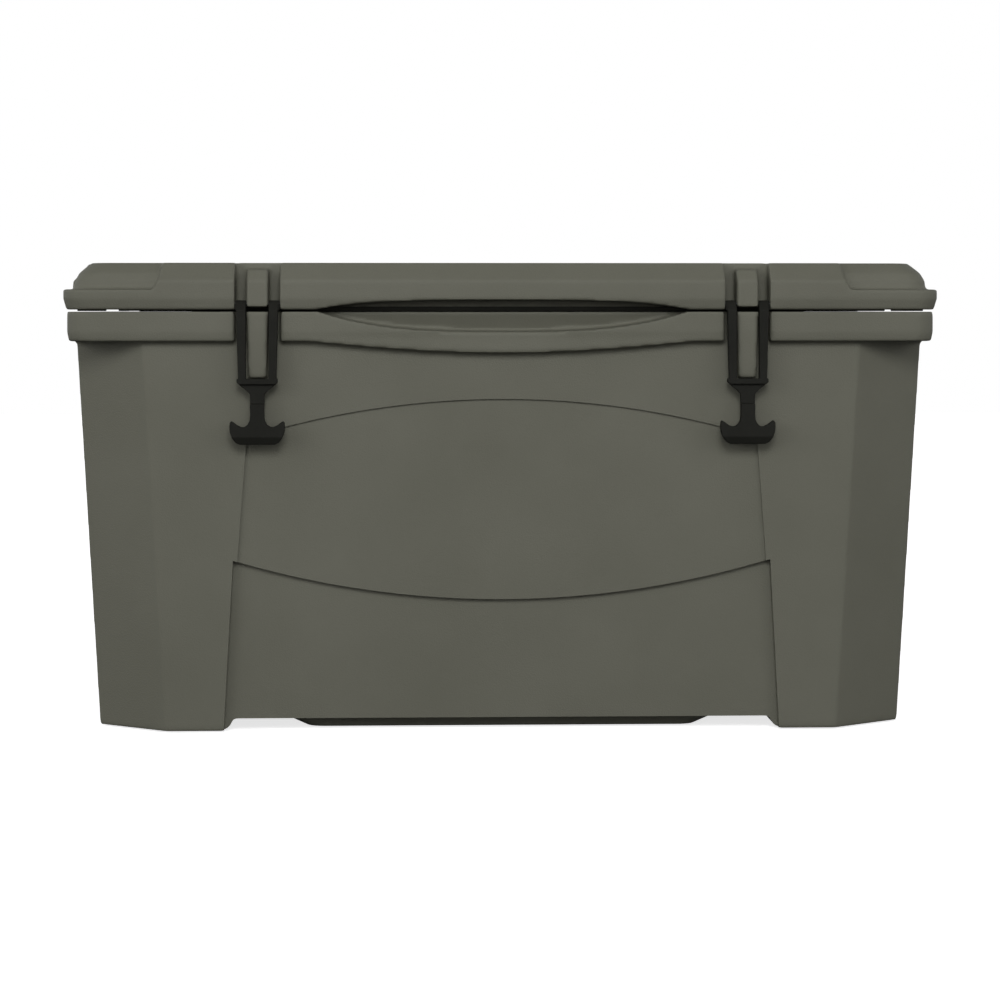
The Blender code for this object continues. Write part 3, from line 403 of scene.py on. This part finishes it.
for side in (-1, 1):
    weld(tub, catch(side * LATCH_X))
tub_web = [(0.2125, RIM_Z), (0.2125, 0.3792), (0.225, 0.3881), (HINGE_Y, 0.3877), (HINGE_Y, RIM_Z)]
for start, length in knuckle_spans(0):
    weld(tub, knuckle(start, length, tub_web))
print("catches and knuckles on:", len(tub.data.polygons), "faces")

# %% [markdown]
# ## The well, and the tub out of its mould
# The well is a tapering pit with round corners. It is cut before the moulding step, so that its
# rim comes out soft as well.

# %% Well and moulding
WELL_FLOOR = 0.071
narrow = (RIM_Z - WELL_FLOOR) * 0.046  # how much smaller the floor is than the rim
carve(tub, stack("well", [(WELL_FLOOR, WELL_X - narrow, WELL_Y - narrow), (RIM_Z, WELL_X, WELL_Y),
                          (0.42, WELL_X, WELL_Y)], 0.040, 8))
carve(tub, bar("drain_seat", 0.032, (DRAIN_X, MIDDLE_Y, DRAIN_Z), 0.1, "X", 64))
mould(tub, 0.0018, 6, 190000)

# %% [markdown]
# ## Crisp panels
# Two long arcs cross the front. Between them the surface stands back a hair, and under the lower
# one it stands back further. On the real moulding these steps are sharper than all other edges,
# so they are cut after the softening. The rear has the lower panel only.

# %% Panels
def post_edge(z):
    """Where the posts end, measured from the middle, at a height."""
    return 0.2505 - (z - 0.166) * 0.069


def arc_panel(facing, crown, radius, direction, depth):
    """The space in front of a sunk panel, leaning with the body."""
    reach = post_edge(crown)
    y = MIDDLE_Y + facing * (half_y(crown) - depth)
    outline = []
    for n in range(41):
        x = reach * (1 - n / 20)
        drop = radius - math.sqrt(radius ** 2 - x ** 2)
        outline.append((x, y, crown + direction * drop))
    low = -0.03
    outline += [(-post_edge(low), y, low), (post_edge(low), y, low)]
    made = plate("panel", outline, (0, facing * 0.08, 0))
    hold(made)
    bpy.ops.object.mode_set(mode="EDIT")
    bpy.ops.mesh.select_all(action="SELECT")
    bpy.ops.transform.rotate(value=facing * SIDE_TAPER, orient_axis="X",
                             center_override=(0, y, crown))
    return put_down(made)


LOWER_ARC = (0.1250, 0.880, 1, 0.008)    # crown, radius, way it curves and depth
UPPER_ARC = (0.3140, 0.820, -1, 0.0025)
lower_front = arc_panel(-1, *LOWER_ARC)
panels = weld(arc_panel(-1, *UPPER_ARC), lower_front)
drills = [panels, arc_panel(1, *LOWER_ARC)]
print("front panels", len(panels.data.polygons), "faces")

# %% [markdown]
# ## Drilled holes
# The holes for the hinge rod, the drain, the fill plugs and the foot pads are round
# and sharp, so they are drilled last too. All drills are gathered into one object and cut in one
# go.

# %% Drills
ROD_BORE, PIN_BORE, FILL_HOLE = 0.00435, 0.0023, 0.0123     # radii that tub, lid and latch share
drills.append(bar("rod_bore", ROD_BORE, (-LID_X, HINGE_Y, HINGE_Z), 2 * LID_X, "X", 32))
drills.append(bar("drain_hole", 0.0138, (0.2, MIDDLE_Y, DRAIN_Z), 0.25, "X", 48))
for side in (-1, 1):
    drills.append(bar("fill_hole", FILL_HOLE, (side * 0.120, MIDDLE_Y, -0.02), 0.0265, "Z", 40))
    for facing in (-1, 1):
        foot = (side * 0.314, MIDDLE_Y + facing * 0.138)
        drills.append(bar("pad_seat", 0.0223, (*foot, -0.02), 0.0265, "Z", 40))
carve(tub, gather(drills))
print("drilled:", len(tub.data.polygons), "faces")

# %% [markdown]
# ## The lid
# The lid is a slab with a short skirt. Its four corners carry lower blocks behind a ledge, and the
# sides between the corners stand out to the full width and slope in towards the top. It is stacked
# from level outlines like the flange.

# %% Lid form
lid = stack("lid_moulding", [(LID_Z - 0.0012, LID_X - 0.0027, LID_Y - 0.0027),
                             (0.4081, LID_X, LID_Y), (0.417, LID_X, LID_Y)], 0.022, 6)
levels = [(0.408, LID_X - 0.009, LID_Y - 0.009)]
for share, back in ((0.0, 0.0), (0.33, 0.0008), (0.62, 0.0045), (0.85, 0.0105), (1.0, 0.0150)):
    levels.append((0.417 + 0.0249 * share, LID_X - 0.009 - back, LID_Y - 0.009 - back))
weld(lid, stack("corner_blocks", levels, 0.022, 6))
for wide, deep, lean_x, lean_y in ((LID_X - 0.081, LID_Y, 0.012, 0.0),
                                   (LID_X, LID_Y - 0.081, 0.0, 0.012)):
    run_x, run_y = (0.012, 0.015) if lean_x else (0.015, 0.012)
    weld(lid, stack("side", [(0.408, wide, deep),
                             (0.425, wide - lean_x * 0.75, deep - lean_y * 0.75),
                             (LID_TOP, wide - run_x, deep - run_y)], 0, 1))
weld(lid, stack("inner_step", [(LID_Z - 0.006, WELL_X - 0.016, WELL_Y - 0.016),
                               (LID_Z + 0.004, WELL_X - 0.010, WELL_Y - 0.010)], 0.040, 8))
print("lid form", len(lid.data.polygons), "faces")

# %% Lid channels, posts and knuckles
for side in (-1, 1):
    middle = side * LATCH_X
    carve(lid, block("lid_channel", (middle - 0.0212, FRONT_Y - 0.05, 0.35),
                     (middle + 0.0212, FRONT_Y + 0.024, 0.5)))
    for edge in (-1, 1):
        carve(lid, block("side_slot", (middle + edge * 0.0203 - 0.0009, FRONT_Y - 0.05, 0.35),
                         (middle + edge * 0.0203 + 0.0009, FRONT_Y + 0.036, 0.5)))
    face = FRONT_Y + 0.0005
    outline = [(face, 0.4003), (face, 0.4250), (face + 0.0088, 0.4358), (FRONT_Y + 0.028, 0.4358),
               (FRONT_Y + 0.028, 0.4003)]
    weld(lid, plate("lid_post", [(middle - 0.0100, y, z) for y, z in outline], (0.0200, 0, 0)))
carve(lid, plate("scoop", scoop_outline(FRONT_Y - 0.05), (0, 0.074, 0)))
lid_web = [(0.2157, LID_Z), (HINGE_Y, LID_Z), (0.2371, 0.4062), (HINGE_Y, 0.4083), (0.2157, 0.4212)]
for start, length in knuckle_spans(1):
    weld(lid, knuckle(start, length, lid_web))
mould(lid, 0.0016, 5, 170000)

# %% [markdown]
# The groove for the seal and the holes for the rod, the pins and the fill plugs are cut into the
# lid once it is out of its mould.

# %% Lid groove and drills
groove = stack("groove", [(0.394, 0.3483, 0.1823), (0.4037, 0.3483, 0.1823)], 0.0423, 8)
carve(groove, stack("groove_middle", [(0.390, 0.3357, 0.1697), (0.41, 0.3357, 0.1697)], 0.0297, 8))
drills = [groove, bar("rod_bore", ROD_BORE, (-LID_X, HINGE_Y, HINGE_Z), 2 * LID_X, "X", 32)]
for side in (-1, 1):
    drills.append(bar("fill_hole", FILL_HOLE, (side * 0.120, MIDDLE_Y, 0.380), 0.0182, "Z", 40))
    drills.append(bar("pin_hole", PIN_BORE, (side * LATCH_X - 0.0285, PIN_Y, PIN_Z), 0.057, "X",
                      24))
carve(lid, gather(drills))
print("lid", len(lid.data.polygons), "faces")

# %% [markdown]
# ## A rubber latch
# Each latch is one piece of black rubber. Two arms hang from a steel pin in the lid, run down past
# the catch and meet in a bar that hooks under it. Below the bar a neck carries an anchor-shaped
# handle with upturned horns. The outline is drawn once and pushed to the thickness of the strap.

# %% Latch
STRAP_FRONT, STRAP = FRONT_Y - 0.0025, 0.009
half = [(0.0190, 0.3334), (0.0190, 0.3300), (0.0150, 0.3262), (0.0098, 0.3222), (0.0069, 0.3190),
        (0.0065, 0.3000), (0.0070, 0.2945), (0.0089, 0.2909), (0.0122, 0.2885), (0.0152, 0.2885),
        (0.0189, 0.2903), (0.0222, 0.2930), (0.0240, 0.2940), (0.0254, 0.2928), (0.0257, 0.2890),
        (0.0254, 0.2838), (0.0232, 0.2779), (0.0200, 0.2738), (0.0166, 0.2720)]
outline = [(LATCH_X + x, STRAP_FRONT, z) for x, z in half]
outline += [(LATCH_X - x, STRAP_FRONT, z) for x, z in reversed(half)]
latch = plate("rubber_latch_right", outline, (0, STRAP, 0))
arm_side = [(STRAP_FRONT, 0.3300), (STRAP_FRONT, 0.3975)]
for n in range(9):
    angle = math.radians(150 - 26 * n)
    arm_side.append((PIN_Y + 0.0033 * math.cos(angle), PIN_Z + 0.0033 * math.sin(angle)))
arm_side += [(STRAP_FRONT + STRAP, 0.3965), (STRAP_FRONT + STRAP, 0.3300)]
for side in (-1, 1):
    arm = plate("arm", [(LATCH_X + side * 0.0106, y, z) for y, z in arm_side],
                (side * 0.0087, 0, 0))
    pick(arm, "VERT", lambda vert: vert.co.z < 0.34 and abs(vert.co.x - LATCH_X) > 0.015)
    bpy.ops.transform.translate(value=(-side * 0.0016, 0, 0))
    put_down(arm)
    head = [(y, z) for y, z in arm_side if z > 0.3985]
    low_end = [(STRAP_FRONT + 0.0060, 0.3975), (STRAP_FRONT + 0.0030, 0.3975)]
    weld(arm, plate("arm_head", [(LATCH_X + side * 0.0110, y, z) for y, z in head + low_end],
                    (side * 0.0096, 0, 0)))
    weld(latch, arm)
recess = block("neck_recess", (LATCH_X - 0.03, STRAP_FRONT - 0.01, 0.3072),
               (LATCH_X + 0.03, STRAP_FRONT + 0.0034, 0.3285))
pick(recess, "FACE", lambda face: face.normal.y > 0.9)
bpy.ops.transform.resize(value=(1, 1, 0.84), center_override=(LATCH_X, 0, 0.3285))
put_down(recess)
carve(latch, recess)
ridge = plate("handle_chamfer", [(LATCH_X - 0.04, y, z) for y, z in
                                 ((STRAP_FRONT - 0.01, 0.279), (STRAP_FRONT, 0.279),
                                  (STRAP_FRONT + 0.0040, 0.2700), (STRAP_FRONT - 0.01, 0.2700))],
              (0.08, 0, 0))
carve(latch, ridge)
mould(latch, 0.0005, 4, 60000)
carve(latch, bar("eye_bore", PIN_BORE, (LATCH_X - 0.03, PIN_Y, PIN_Z), 0.06, "X", 32))
print("latch", len(latch.data.polygons), "faces")

# %% Second latch
hold(latch)
bpy.ops.object.duplicate()
latch_two = bpy.context.object
latch_two.name = "rubber_latch_left"
bpy.ops.transform.translate(value=(-2 * LATCH_X, 0, 0))
bpy.ops.object.transform_apply(location=True, rotation=True, scale=True)
print("two latches")

# %% [markdown]
# ## Dark strips in the gap
# Behind the front edge, and the same at the rear, thin strips of dark rubber hang from the lid and
# close most of the gap between lid and tub. They are painted shade: a dark sheet put where the gap
# would only show its own shadow. They are open near the corners, so light shows through there.
# Each stretch is a drawn plate with slanting sides and a rounded lower edge, and all stretches move
# with the lid.

# %% Strips of painted gap shade
# These strips are painted shade: dark rubber that stands in for the shadow inside the gap.
strips = []
for start, end in ((-0.3985, -0.3715), (-0.3600, -0.3500), (-0.3400, 0.3620), (0.3680, 0.3985)):
    for facing in (-1, 1):
        y = MIDDLE_Y + facing * 0.2085
        foot = [(start, y - 0.0016, 0.4008), (start, y - 0.0010, 0.3966),
                (start, y + 0.0010, 0.3966), (start, y + 0.0016, 0.4008)]
        strip = plate("gap_shade_piece", foot, (end - start, 0, 0))
        pick(strip, "EDGE", lambda edge: max(v.co.z for v in edge.verts) < 0.397)
        bpy.ops.mesh.bevel(offset=0.0005, segments=2)
        strips.append(put_down(strip))
gap_shade_strips = gather(strips)
gap_shade_strips.name = "painted_gap_shade"
print("gap shade strips", len(gap_shade_strips.data.polygons), "faces")

# %% [markdown]
# ## Finishes
# A finish is a small network of nodes. The pebbled grain of the moulding and the fine grain of
# the rubber are the same effect at different sizes, so it is a node group, built once and placed
# in each material with its own values. The group only gives numbers that change over the surface.

# %% Grain group
def node(tree, kind, **settings):
    made = tree.nodes.new("ShaderNode" + kind)
    for key, value in settings.items():
        setattr(made, key, value)
    return made


grain = bpy.data.node_groups.new("moulded_grain", "ShaderNodeTree")
for name, default in (("Pebbles per metre", 900.0), ("Cloudiness", 9.0)):
    socket = grain.interface.new_socket(name, in_out="INPUT", socket_type="NodeSocketFloat")
    socket.default_value = default
for name in ("Height", "Mottle", "Cloud"):
    grain.interface.new_socket(name, in_out="OUTPUT", socket_type="NodeSocketFloat")
into, out = grain.nodes.new("NodeGroupInput"), grain.nodes.new("NodeGroupOutput")
place = node(grain, "TexCoord")
pebbles = node(grain, "TexVoronoi")
fine = node(grain, "TexNoise")
cloud = node(grain, "TexNoise")
fine.inputs["Detail"].default_value = 2.0
cloud.inputs["Detail"].default_value = 3.0
double = node(grain, "Math", operation="MULTIPLY")
double.inputs[1].default_value = 2.3
height = node(grain, "Math", operation="ADD")
link = grain.links.new
for texture in (pebbles, fine, cloud):
    link(place.outputs["Object"], texture.inputs["Vector"])
link(into.outputs["Pebbles per metre"], pebbles.inputs["Scale"])
link(into.outputs["Pebbles per metre"], double.inputs[0])
link(double.outputs[0], fine.inputs["Scale"])
link(into.outputs["Cloudiness"], cloud.inputs["Scale"])
link(pebbles.outputs["Distance"], height.inputs[0])
link(fine.outputs["Fac"], height.inputs[1])
link(height.outputs[0], out.inputs["Height"])
link(fine.outputs["Fac"], out.inputs["Mottle"])
link(cloud.outputs["Fac"], out.inputs["Cloud"])
print("grain group", len(grain.nodes), "nodes")


# %% Finish from two colours
def finish(name, dark, light, roughness, pebbles_per_metre, bump, cloudiness=9.0, metallic=0.0,
           specular=0.5):
    """A material whose colour and roughness drift between two values, with a grained surface."""
    made = bpy.data.materials.new(name)
    made.use_nodes = True
    tree = made.node_tree
    shader = tree.nodes["Principled BSDF"]
    shader.inputs["Metallic"].default_value = metallic
    shader.inputs["Specular IOR Level"].default_value = specular
    effect = tree.nodes.new("ShaderNodeGroup")
    effect.node_tree = grain
    effect.inputs["Pebbles per metre"].default_value = pebbles_per_metre
    effect.inputs["Cloudiness"].default_value = cloudiness
    blend = node(tree, "Math", operation="ADD")
    half_mottle = node(tree, "Math", operation="MULTIPLY")
    half_mottle.inputs[1].default_value = 0.35
    tree.links.new(effect.outputs["Mottle"], half_mottle.inputs[0])
    share = node(tree, "MapRange")
    share.inputs["From Min"].default_value = 0.35
    share.inputs["From Max"].default_value = 0.95
    tree.links.new(effect.outputs["Cloud"], blend.inputs[0])
    tree.links.new(half_mottle.outputs[0], blend.inputs[1])
    tree.links.new(blend.outputs[0], share.inputs["Value"])
    mix = node(tree, "Mix", data_type="RGBA")
    mix.inputs["A"].default_value = (*dark, 1)
    mix.inputs["B"].default_value = (*light, 1)
    tree.links.new(share.outputs["Result"], mix.inputs["Factor"])
    tree.links.new(mix.outputs["Result"], shader.inputs["Base Color"])
    rough = node(tree, "MapRange")
    rough.inputs["To Min"].default_value = roughness - 0.06
    rough.inputs["To Max"].default_value = roughness + 0.06
    tree.links.new(effect.outputs["Mottle"], rough.inputs["Value"])
    tree.links.new(rough.outputs["Result"], shader.inputs["Roughness"])
    bumps = node(tree, "Bump")
    bumps.inputs["Strength"].default_value = bump
    bumps.inputs["Distance"].default_value = 0.0003
    tree.links.new(effect.outputs["Height"], bumps.inputs["Height"])
    tree.links.new(bumps.outputs["Normal"], shader.inputs["Normal"])
    return made


OLIVE = finish("olive_moulding", (0.112, 0.112, 0.087), (0.130, 0.130, 0.103),
               0.66, 700, 0.45, specular=0.3)
RUBBER = finish("latch_rubber", (0.0080, 0.0082, 0.0062), (0.0125, 0.0127, 0.0100),
                0.7, 1400, 0.25, 30, specular=0.15)
BLACK = finish("black_fittings", (0.014, 0.014, 0.013), (0.022, 0.022, 0.021),
               0.48, 1100, 0.2, 30, specular=0.35)
STEEL = finish("brushed_steel", (0.50, 0.50, 0.48), (0.66, 0.66, 0.64),
               0.32, 2400, 0.1, 60, metallic=1.0)
FOAM = finish("foam_core", (0.72, 0.62, 0.38), (0.84, 0.76, 0.54), 0.9, 400, 0.8, 40)
print("five finishes")

# %% [markdown]
# ## Who wears what, and what moves with what
# The new mouldings stand for the exact ones, which they hide, and ride on the same bodies. The
# exact pieces whose shape is already right stay, and only change their finish.

# %% Dress and hang the new pieces
def hang(piece, body, slot, finish_used, *stands_for):
    """Give a finished piece its material, shading and body; the slot is not used."""
    hold(piece)
    piece.data.materials.clear()
    piece.data.materials.append(finish_used)
    bpy.ops.object.shade_smooth_by_angle(angle=math.radians(38))
    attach(piece, body)
    if stands_for:
        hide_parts(*stands_for)
    print(piece.name, len(piece.data.polygons))


hang(tub, "tub", "olive_plastic", OLIVE, "tub_shell")
hang(lid, "lid", "olive_plastic", OLIVE, "lid_shell")
# The dark gap strips are painted shade, not a real part, and they ride on the lid.
hang(gap_shade_strips, "lid", "black_rubber", RUBBER)
hang(latch, "latch_right", "black_rubber", RUBBER, "latch_right")
hang(latch_two, "latch_left", "black_rubber", RUBBER, "latch_left")

# %% Dress the exact pieces that stay
DRESS = {"seal": RUBBER, "gasket": RUBBER, "foam": FOAM, "plug": BLACK, "pad": RUBBER,
         "screw": STEEL, "cap": BLACK, "rod": STEEL, "pin": BLACK, "fitting": BLACK, "nut": BLACK}
for name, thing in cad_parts.items():
    word = next((word for word in DRESS if word in name), None)   # the first that fits counts
    if word:
        for slot in thing.material_slots:
            slot.material = DRESS[word]

# %% [markdown]
# ## Floor, light and camera
# A pale floor, a white surround that is bright near the ground and dim overhead, and large soft
# lights in front give a plain studio. The camera sees plain white, while the light itself is
# shaped. The camera stands level with the gap between lid and tub and looks straight at the
# front.

# %% Floor and surround
let_go()
bpy.ops.mesh.primitive_plane_add(size=14, location=(0, 0, 0))
floor = bpy.context.object
floor.name = "studio_floor"


def two_faced(tree, shown_to_camera, shown_to_rest, output):
    """Show one shader to the camera and another to every other ray."""
    path = node(tree, "LightPath")
    either = node(tree, "MixShader")
    tree.links.new(path.outputs["Is Camera Ray"], either.inputs["Fac"])
    tree.links.new(shown_to_rest, either.inputs[1])
    tree.links.new(shown_to_camera, either.inputs[2])
    tree.links.new(either.outputs["Shader"], tree.nodes[output].inputs["Surface"])


paper = bpy.data.materials.new("studio_paper")
paper.use_nodes = True
white = paper.node_tree.nodes["Principled BSDF"]
white.inputs["Base Color"].default_value = (0.95, 0.95, 0.95, 1)
white.inputs["Roughness"].default_value = 0.9
white.inputs["Emission Color"].default_value = (1, 1, 1, 1)
white.inputs["Emission Strength"].default_value = 0.75
bounce = node(paper.node_tree, "BsdfDiffuse")
bounce.inputs["Color"].default_value = (0.12, 0.12, 0.12, 1)
two_faced(paper.node_tree, white.outputs["BSDF"], bounce.outputs["BSDF"], "Material Output")
floor.data.materials.append(paper)
floor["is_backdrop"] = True

world = bpy.context.scene.world or bpy.data.worlds.new("studio")
bpy.context.scene.world = world
world.use_nodes = True
sky = world.node_tree
surround = sky.nodes["Background"]
surround.inputs["Color"].default_value = (1, 1, 1, 1)
direction = node(sky, "TexCoord")
parts = node(sky, "SeparateXYZ")
ring = node(sky, "MapRange", interpolation_type="SMOOTHSTEP")
for key, value in (("From Min", 0.25), ("From Max", 0.85), ("To Min", 1.12), ("To Max", 0.04)):
    ring.inputs[key].default_value = value
lean = node(sky, "Math", operation="MULTIPLY_ADD")
lean.inputs[1].default_value, lean.inputs[2].default_value = -0.22, 1.0
strength = node(sky, "Math", operation="MULTIPLY")
for start, end in ((direction.outputs["Generated"], parts.inputs["Vector"]),
                   (parts.outputs["Z"], ring.inputs["Value"]),
                   (parts.outputs["X"], lean.inputs[0]),
                   (ring.outputs["Result"], strength.inputs[0]),
                   (lean.outputs[0], strength.inputs[1]),
                   (strength.outputs[0], surround.inputs["Strength"])):
    sky.links.new(start, end)
backdrop = node(sky, "Background")
backdrop.inputs["Color"].default_value = (1, 1, 1, 1)
backdrop.inputs["Strength"].default_value = 1.0
two_faced(sky, backdrop.outputs["Background"], surround.outputs["Background"], "World Output")
bpy.context.scene.view_settings.view_transform = "Standard"


# %% Lights
def soft_light(name, place, aim, size, power):
    """A large square light that points at a place."""
    lamp = bpy.data.lights.new(name, "AREA")
    lamp.shape, lamp.size, lamp.energy = "SQUARE", size, power
    holder = bpy.data.objects.new(name, lamp)
    bpy.context.scene.collection.objects.link(holder)
    holder.location = place
    away = [a - b for a, b in zip(place, aim)]
    flat = math.hypot(away[0], away[1])
    turn = math.atan2(away[1], away[0]) + math.pi / 2
    holder.rotation_euler = (math.atan2(flat, away[2]), 0, turn)
    return holder


soft_light("front_box", (0.0, -3.2, 2.0), (0, 0, 0.25), 1.2, 47)
soft_light("left_box", (-2.4, -2.2, 1.3), (0, 0, 0.25), 1.0, 9)
soft_light("right_box", (2.4, -2.2, 1.3), (0, 0, 0.25), 1.0, 6)
print("lights", len(bpy.data.lights))

# %% Camera
TURN, DISTANCE = math.radians(-2.0), 2.59
eye = bpy.data.cameras.new("camera")
eye.lens, eye.sensor_width = 90.6, 36.0
eye.shift_x, eye.shift_y = 0.0055, -0.19
camera = bpy.data.objects.new("camera", eye)
bpy.context.scene.collection.objects.link(camera)
camera.location = (DISTANCE * math.sin(TURN), -DISTANCE * math.cos(TURN), 0.3976)
camera.rotation_euler = (math.radians(90), 0, TURN)
bpy.context.scene.camera = camera
print("camera at", [round(v, 3) for v in camera.location])

# %% Overall size
low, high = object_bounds()
